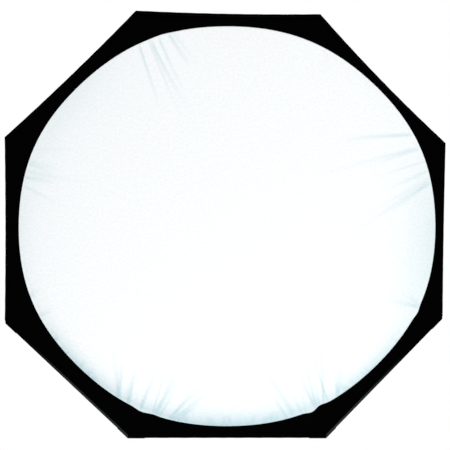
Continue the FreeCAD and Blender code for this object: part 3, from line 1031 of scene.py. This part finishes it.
# ----------------------------------------
# Rear collar: an elastic sleeve over the ring's rim. It is gathered on its
# elastic hem and spreads to an octagon over the rod holders.
# ----------------------------------------
COLLAR_OUT = CLOTH_OUTSIDE + 0.0014
collar_turn = (-0.0020 - HINGE_Y - COLLAR_OUT * math.sin(LEAN)) / -math.cos(LEAN)
collar_path = [(0.0726, -0.0020), (0.0760, -0.0014), (0.0800, -0.0018)]
turn_radius = straight(collar_turn, COLLAR_OUT)[0]
collar_path += [(0.0800 + (turn_radius - 0.0800) * k / 8, -0.0019) for k in range(1, 8)]
collar_path += [straight(d, COLLAR_OUT)
                for d in np.linspace(collar_turn + 0.001, 0.0565, 14)]
turns = np.arange(8 * 28) * 2 * math.pi / (8 * 28)
grid = []
for number, (radius, y) in enumerate(collar_path):
    ring_points = []
    gather = 0.00055 * math.exp(-max(0.0, radius - 0.078) / 0.012)
    for turn in turns:
        off_corner = (turn - HALF_STEP) % (2 * HALF_STEP)
        flat_reach = math.cos(HALF_STEP) / math.cos(off_corner - HALF_STEP)
        flatness = min(1.0, max(0.0, (radius - 0.0726) / 0.02))
        reach = radius * (1 - flatness + flatness * flat_reach)
        lift = gather * (1 + math.sin(turn * 52 + 0.7 * math.sin(turn * 5)))
        ring_points.append(round_axis(reach, y + lift, turn))
    grid.append(ring_points)
collar = cloth("elastic_collar", grid, 0.0010, [black_nylon], wrap=True, flip=True)
stand_for(collar, None, "speed_ring", "cover_cloth", "rear_collar")
hem_line = [[round_axis(0.0765 + w, -0.0004, t) for t in np.linspace(0, 2 * math.pi, 121)]
            for w in (0.0, 0.004)]
collar_rows = stitched("collar_stitches", hem_line, thread_black, seed=61)
stand_for(collar_rows, None, "speed_ring", "cover_cloth")


# ----------------------------------------
# Front surround: black cloth from the round opening out to the lip, bound
# and topstitched round the opening. It is pulled a little out at the corners.
# ----------------------------------------
mask_black = cloth_material(
    "black_surround_cloth", (0.0008, 0.0008, 0.0008), 1.0, 0.0009, 0.5, 0.3, specular=0.0)
DISC_RADIUS = 0.665
PANEL_Y = -0.5406
PANEL_INSET = 0.0034
# where the pull of a corner shows on the opening: degrees, metres, degrees wide
CORNER_PULLS = (
    (-66.6, 0.0055, 1.5), (-63.6, -0.0040, 1.4), (-113.6, 0.0045, 1.8), (-110.0, -0.0015, 1.2),
    (-26.0, 0.0035, 1.6), (108.5, 0.0020, 2.5),
)


def opening_radius(turn):
    """Radius of the round opening, drawn out a little towards the corners."""
    radius = DISC_RADIUS + 0.0024 * math.cos(8 * (turn - HALF_STEP))
    for degrees, pull, spread in CORNER_PULLS:
        gap = (math.degrees(turn) - degrees + 180) % 360 - 180
        radius += pull * math.exp(-(gap / spread) ** 2)
    return radius


edge_steps = [(number, t) for number in RIBS for t in np.linspace(-1, 1, 49)[:-1]]
mask_outer = np.array([on_lip(n, t, PANEL_INSET, PANEL_Y) for n, t in edge_steps])
mask_turns = np.arctan2(mask_outer[:, 2], mask_outer[:, 0])
mask_inner = np.array([round_axis(opening_radius(t), PANEL_Y, t) for t in mask_turns])
mask_width = np.linalg.norm(mask_outer - mask_inner, axis=1)
mask_slack = 0.0012 * np.clip((mask_width - 0.035) / 0.06, 0, 1) ** 2
grid = []
for share in np.linspace(0, 1, 14):
    row = mask_inner * (1 - share) + mask_outer * share
    bulge = mask_slack * math.sin(math.pi * share) ** 2
    row[:, 1] -= bulge * (1 + np.sin(mask_turns * 24) * np.cos(mask_turns * 7))
    grid.append(row)
mask = cloth("surround_cloth", grid, 0.0008, [mask_black], wrap=True)
stand_for(mask, None, "front_panel", "mask_cloth", "front_mask")

binding_turns = np.linspace(0, 2 * math.pi, 481)[:-1]
grid = [[round_axis(opening_radius(t) + w, PANEL_Y - 0.0006 - lift, t) for t in binding_turns]
        for w, lift in ((-0.0008, -0.0004), (-0.0004, 0.0001), (0.0006, 0.0004),
                        (0.0040, 0.0004), (0.0078, 0.0004), (0.0086, 0.0001), (0.0090, -0.0003))]
binding = cloth("opening_binding", grid, 0.0006, [mask_black], wrap=True)
stand_for(binding, None, "front_panel", "mask_cloth")
lines = [[round_axis(opening_radius(t) + w, PANEL_Y - 0.0014, t)
          for t in np.linspace(0, 2 * math.pi, 481)] for w in (0.0022, 0.0066)]
rows = stitched("opening_stitches", lines, lip_thread, seed=71)
stand_for(rows, None, "front_panel", "mask_cloth")

grid = [[on_lip(n, t, 0.0032, y) for n, t in edge_steps]
        for y in np.linspace(-0.5400, -0.5155, 6)]
strip = cloth("hook_strip", grid, 0.0012, [hook_tape], wrap=True)
stand_for(strip, None, "front_panel", "hook_and_loop", "fastening_strip")


# ----------------------------------------
# Front diffuser: translucent white cloth sewn behind the opening. Gathers
# run in from the corners that pull hardest, and the cloth stands a little
# uneven near its rim. Its white is darkened by painted shade near the rim
# and along the gathers, and it has a faint painted glow.
# ----------------------------------------
white_cloth = cloth_material(
    "white_diffusion_cloth", (0.862, 0.872, 0.876), 1.0, 0.0008, 0.9, 0.15, swing=0.11,
    specular=0.0)
# painted shade: the show_through attribute multiplies a teal shade tint into the white
white_surface = tinted_by(white_cloth, "show_through", (0.60, 0.76, 0.80), "MULTIPLY")
# painted glow: a faint emission stands in for light from inside the softbox; the baffle shares it
white_surface.inputs["Emission Color"].default_value = (0.97, 0.985, 1.0, 1)
white_surface.inputs["Emission Strength"].default_value = 0.03

DIFFUSER_Y = -0.5392
DIFFUSER_EDGE = 0.6745
# by direction in degrees: creases, half angle of their fan, half spread along
# the rim, length, strength
GATHERS = (
    (-112.5, 14, 24, 0.110, 0.18, 1.1), (-67.5, 12, 22, 0.110, 0.20, 1.0),
    (-90, 20, 6, 0.170, 0.045, 0.6), (-138, 14, 10, 0.120, 0.040, 0.6),
    (-45, 12, 10, 0.120, 0.035, 0.5), (112.5, 7, 12, 0.080, 0.27, 1.15),
    (19, 8, 12, 0.090, 0.31, 1.15), (165, 7, 14, 0.090, 0.17, 0.6),
    (-24.5, 2, 5, 0.008, 0.10, 0.9), (-155, 5, 10, 0.060, 0.05, 0.4),
    (65, 3, 15, 0.060, 0.10, 0.25),
)
# painted shade at the rim: direction, its half width in degrees, how far in
# it shows, strength
PAINTED_RIM_SHADE = (
    (-134, 15, 0.030, 0.80), (-90, 17, 0.042, 0.95), (-47, 15, 0.028, 0.75),
    (-112, 14, 0.030, 0.45), (-69, 12, 0.034, 0.50), (-6, 24, 0.090, 0.48),
    (170, 36, 0.085, 0.20), (138, 16, 0.080, 0.15),
)


def degrees_apart(turn, degrees):
    """Angle from a direction in degrees, between -180 and 180."""
    return (np.degrees(turn) - degrees + 180) % 360 - 180


def gathers(x, z):
    """Strength of the small creases that run in from the rim, from 0 to about 1."""
    chance = np.random.default_rng(31)
    folds = np.zeros_like(x)
    for degrees, creases, fan, spread, reach, strength in GATHERS:
        for crease in range(creases):
            offset = chance.uniform(-1, 1)
            a = math.radians(degrees) + offset * spread / 0.668
            heading = math.radians(degrees + 180 - fan * offset + chance.uniform(-7, 7))
            way = np.array([math.cos(heading), math.sin(heading)])
            length = reach * chance.uniform(0.5, 1.25)
            width = chance.uniform(0.0026, 0.0050)
            amount = strength * chance.uniform(0.4, 1.0)
            px, pz = x - 0.668 * math.cos(a), z - 0.668 * math.sin(a)
            inward = px * way[0] + pz * way[1]
            across = pz * way[0] - px * way[1]
            share = np.clip(inward / length, 0, None)
            across = across + 0.005 * np.sin(share * 2.4 + crease)
            fade = np.clip(share / 0.10, 0, 1) * np.clip(1 - share, 0, 1)
            folds += amount * fade * np.exp(-(across / (width * (1 + share))) ** 2)
    return folds


def show_through(turn, from_rim):
    """How much painted shade lies in from the rim, from 0 to 1."""
    dark = np.zeros_like(turn)
    for degrees, wide, reach, strength in PAINTED_RIM_SHADE:
        dark += strength * np.exp(-(degrees_apart(turn, degrees) / wide) ** 2
                                  - (from_rim / reach) ** 1.6)
    return dark


def belly(turn, from_rim):
    """How far the cloth stands forward of its seam, by direction and distance in."""
    low = degrees_apart(turn, -105)
    left = degrees_apart(turn, 180)
    front = 0.0080 * np.exp(-(low / 50) ** 2) * (1 - np.exp(-from_rim / 0.021))
    front += 0.0035 * np.exp(-(left / 45) ** 2) * (1 - np.exp(-from_rim / 0.055))
    return front * np.exp(-from_rim / 0.30) * np.clip((0.663 - from_rim) / 0.3, 0, 1)


disc_turns = np.linspace(0, 2 * math.pi, 4001)
closeness = 1 + 3.2 * np.exp(-(degrees_apart(disc_turns, -90) / 52) ** 4)
for degrees in (112.5, 19, 165):
    closeness += 2.0 * np.exp(-(degrees_apart(disc_turns, degrees) / 10) ** 2)
counted = np.concatenate([[0.0], np.cumsum((closeness[1:] + closeness[:-1]) / 2)])
disc_turns = np.interp(np.linspace(0, counted[-1], 761)[:-1], counted, disc_turns)
disc_reach = DIFFUSER_EDGE * (1 - (1 - np.linspace(0, 1, 60)) ** 1.7)[::-1]
disc_reach[-1] = 0.0
turn, reach = np.meshgrid(disc_turns, disc_reach)
x, z = reach * np.cos(turn), reach * np.sin(turn)
turn = (turn + math.pi) % (2 * math.pi) - math.pi
from_rim = np.clip(0.663 - reach, 0, None)
free = np.clip((0.663 - reach) / 0.008, 0, 1)
folds = gathers(x, z)
y = DIFFUSER_Y - free * (belly(turn, from_rim) + 0.0020 * folds)
# painted shade: the rim patches and the gathers darken the cloth's colour
dark = np.clip(show_through(turn, from_rim) + 0.75 * folds * (1 - np.exp(-reach / 0.2)), 0, 1)
grid = np.stack([x, y, z], axis=2)
diffuser = cloth("diffusion_cloth", grid, 0.0010, [white_cloth], wrap=True,
                 facing=(0, -1, 0), cut=np.stack([x, z], axis=2))
behind = diffuser.data.attributes.new("show_through", "FLOAT", "POINT")
behind.data.foreach_set("value", np.concatenate([dark.ravel()] * 2).astype(np.float32))
work = bmesh.new()
work.from_mesh(diffuser.data)
bmesh.ops.remove_doubles(work, verts=work.verts, dist=0.00002)
bmesh.ops.recalc_face_normals(work, faces=work.faces)
work.to_mesh(diffuser.data)
work.free()
stand_for(diffuser, None, "front_panel", "diffuser_cloth", "front_diffuser")


# ----------------------------------------
# Inner baffle: a smaller octagon of the same white cloth half way down the
# chamber, hemmed, with eight elastic straps out to the rods.
# ----------------------------------------
elastic = cloth_material(
    "white_elastic", (0.80, 0.80, 0.79), 0.8, 0.0016, 0.3, 0.8, swing=0.15)
thread_white = marked_material(
    "white_thread", (0.82, 0.82, 0.80), 0.5, 0.1, 0.2, 400.0, 0.8)[0]

BAFFLE_Y = -0.300
BAFFLE_CORNER = 0.400


def round_grid(count):
    """Square grid of count by count points laid onto the unit disc, without a hole."""
    line = np.linspace(-1, 1, count)
    a, b = np.meshgrid(line, line)
    return np.stack([a * np.sqrt(1 - b ** 2 / 2), b * np.sqrt(1 - a ** 2 / 2)], axis=2)


def octagon_share(turn):
    """Radius of the baffle's edge in a direction, as a share of its corner's."""
    off_corner = (turn - HALF_STEP) % (2 * HALF_STEP)
    middle = 1 - abs(off_corner / HALF_STEP - 1)
    straight_edge = math.cos(HALF_STEP) / math.cos(off_corner - HALF_STEP)
    return straight_edge * (1 - 0.012 * middle * (2 - middle))


def baffle_edge(turn, inset, lift):
    """Point near the baffle's edge."""
    reach = BAFFLE_CORNER * octagon_share(turn) - inset
    return round_axis(reach, BAFFLE_Y + lift, turn)


disc = round_grid(120)
reach = np.hypot(disc[:, :, 0], disc[:, :, 1])
turn = np.arctan2(disc[:, :, 1], disc[:, :, 0])
edge = np.vectorize(octagon_share)(turn) * BAFFLE_CORNER
x, z = edge * reach * np.cos(turn), edge * reach * np.sin(turn)
y = BAFFLE_Y + 0.0016 * np.sin(x * 31) * np.cos(z * 23) * (1 - reach ** 4)
baffle = cloth("baffle_cloth", np.stack([x, y, z], axis=2), 0.0010, [white_cloth],
               facing=(0, -1, 0), cut=np.stack([x, z], axis=2))
stand_for(baffle, None, "baffle", "diffuser_cloth", "inner_baffle")
hem_turns = np.linspace(0, 2 * math.pi, 321)[:-1]
grid = [[baffle_edge(t, inset, lift) for t in hem_turns]
        for inset, lift in ((0.0000, 0.0002), (0.0004, -0.0008), (0.0060, -0.0010),
                            (0.0150, -0.0010), (0.0156, -0.0007))]
baffle_hem = cloth("baffle_hem", grid, 0.0006, [white_cloth], wrap=True, flip=True)
stand_for(baffle_hem, None, "baffle", "diffuser_cloth")
lines = [[baffle_edge(t, inset, -0.0015) for t in np.linspace(0, 2 * math.pi, 321)]
         for inset in (0.004, 0.012)]
rows = stitched("baffle_stitches", lines, thread_white, seed=81)
stand_for(rows, None, "baffle", "diffuser_cloth")


def joined(name, parts):
    """One object from several, with their UVs and materials kept."""
    whole = bmesh.new()
    for part in parts:
        whole.from_mesh(part.data)
    mesh = bpy.data.meshes.new(name)
    whole.to_mesh(mesh)
    whole.free()
    for material in parts[0].data.materials:
        mesh.materials.append(material)
    for part in parts:
        bpy.data.objects.remove(part)
    thing = bpy.data.objects.new(name, mesh)
    scene.collection.objects.link(thing)
    return thing


STRAP_WIDTH = 0.020
STRAP_Y = -0.2986
strap_from = 0.376
strap_to = beside_rod(length_to(STRAP_Y, 0.0), 0.0)[0] - 0.008
strips, strap_lines = [], []
for number in RIBS:
    a = rib_azimuth(number)
    outward = np.array([math.cos(a), 0.0, math.sin(a)])
    sideways = np.array([-math.sin(a), 0.0, math.cos(a)])
    dx, dz = shift_at(number, 0.0, STRAP_Y)
    grid = []
    for share in np.linspace(0, 1, 30):
        centre = outward * (strap_from + (strap_to - strap_from) * share)
        centre = centre + np.array([dx, 0.0, dz]) * share
        width = STRAP_WIDTH * (1 - 0.10 * math.sin(math.pi * share))
        sag = 0.0006 * math.sin(math.pi * share)
        grid.append([centre + sideways * width * w + np.array([0, STRAP_Y + sag, 0])
                     for w in np.linspace(-0.5, 0.5, 9)])
    strips.append(cloth(f"strap_{number}", grid, 0.0014, [elastic]))
    for reach in (0.379, 0.384, 0.389):
        strap_lines.append([outward * reach + sideways * w + np.array([0, STRAP_Y + 0.0010, 0])
                            for w in np.linspace(-0.008, 0.008, 6)])
straps = joined("elastic_straps", strips)
stand_for(straps, None, "baffle", "elastic_webbing", "baffle_straps")
rows = stitched("strap_stitches", strap_lines, thread_white, seed=91, pitch=0.003, stitch=0.0024)
stand_for(rows, None, "baffle", "elastic_webbing")
